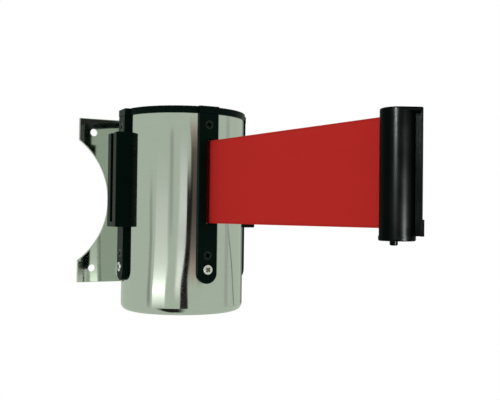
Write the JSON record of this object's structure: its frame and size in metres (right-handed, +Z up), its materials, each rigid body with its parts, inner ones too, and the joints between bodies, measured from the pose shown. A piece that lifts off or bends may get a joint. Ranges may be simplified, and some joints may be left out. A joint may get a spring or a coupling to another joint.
{
  "type": "wall-mount retractable belt unit",
  "caption": "Wall-mounted retractable belt unit: polished round canister with receiver channels, wide red webbing drawn out to a black belt end, hung on a scalloped plate.",
  "frame": {"origin": "centre of the wall plate's four screw holes, on the face that lies against the wall", "axes": "+Z up, +Y into the wall, so the belt leaves towards -Y; +X to the right when facing the wall"},
  "size_m": [0.108, 0.2476, 0.1218],
  "materials": {
    "polished_steel": "polished stainless sheet",
    "bright_steel": "bright zinc plated",
    "black_steel": "black oxide",
    "spring_steel": "blued strip",
    "black_plastic": "moulded, semi-gloss",
    "frame_plastic": "moulded, matte",
    "spool_plastic": "natural nylon",
    "acetal": "white acetal",
    "red_webbing": "fine flat polyester weave"
  },
  "bodies": {
    "wall_bracket": {"wall_plate": "polished_steel", "wall_clip": "black_plastic", "clip_rivets": "bright_steel"},
    "canister": {"shell": "polished_steel", "top_cap": "black_plastic", "upper_frame": "frame_plastic", "lower_frame": "frame_plastic", "outlet_strip": "black_plastic", "receiver_left": "black_plastic", "receiver_right": "black_plastic", "receiver_back": "black_plastic", "strip_screws_black": "black_steel", "strip_screws_silver": "bright_steel", "frame_screws": "bright_steel", "guide_pins": "bright_steel", "reel_shaft": "bright_steel", "shaft_nut": "bright_steel", "shaft_washers": "bright_steel", "spring_cup": "frame_plastic", "power_spring": "spring_steel", "belt_feed": "red_webbing"},
    "reel": {"spool": "spool_plastic", "spool_flange": "spool_plastic", "lower_bushing": "acetal", "upper_bushing": "acetal", "flange_screws": "bright_steel", "anchor_pin": "bright_steel", "belt_coil": "red_webbing"},
    "belt_root": {"belt_lead": "red_webbing"},
    "belt": {"belt_run": "red_webbing", "belt_loop": "red_webbing"},
    "belt_end": {"belt_end_body": "black_plastic", "belt_end_cap": "black_plastic", "belt_rod": "black_plastic"}
  },
  "joints": [
    {"name": "lift_off", "type": "slide", "parent": "wall_bracket", "child": "canister", "axis": [0, 0, 1], "range_m": [0, 0.06]},
    {"name": "reel_spin", "type": "hinge", "parent": "canister", "child": "reel", "pos_m": [0, -0.0495, 0], "axis": [0, 0, 1], "range_deg": [-450, 5200], "deforming": ["power_spring"]},
    {"name": "belt_swing", "type": "hinge", "parent": "canister", "child": "belt_root", "pos_m": [0.001, -0.0898, 0], "axis": [0, 0, 1], "range_deg": [-58, 42]},
    {"name": "belt_pull", "type": "slide", "parent": "belt_root", "child": "belt", "axis": [0.1469, -0.9891, 0], "range_m": [-0.1345, 1.65], "deforming": ["belt_run"]},
    {"name": "end_swivel", "type": "hinge", "parent": "belt", "child": "belt_end", "pos_m": [0.02257, -0.23501, 0], "axis": [0, 0, 1], "range_deg": [-30, 30]}
  ],
  "couplings": [
    {"joint": "reel_spin", "follows": "belt_pull", "rad_per_m": 54}
  ]
}
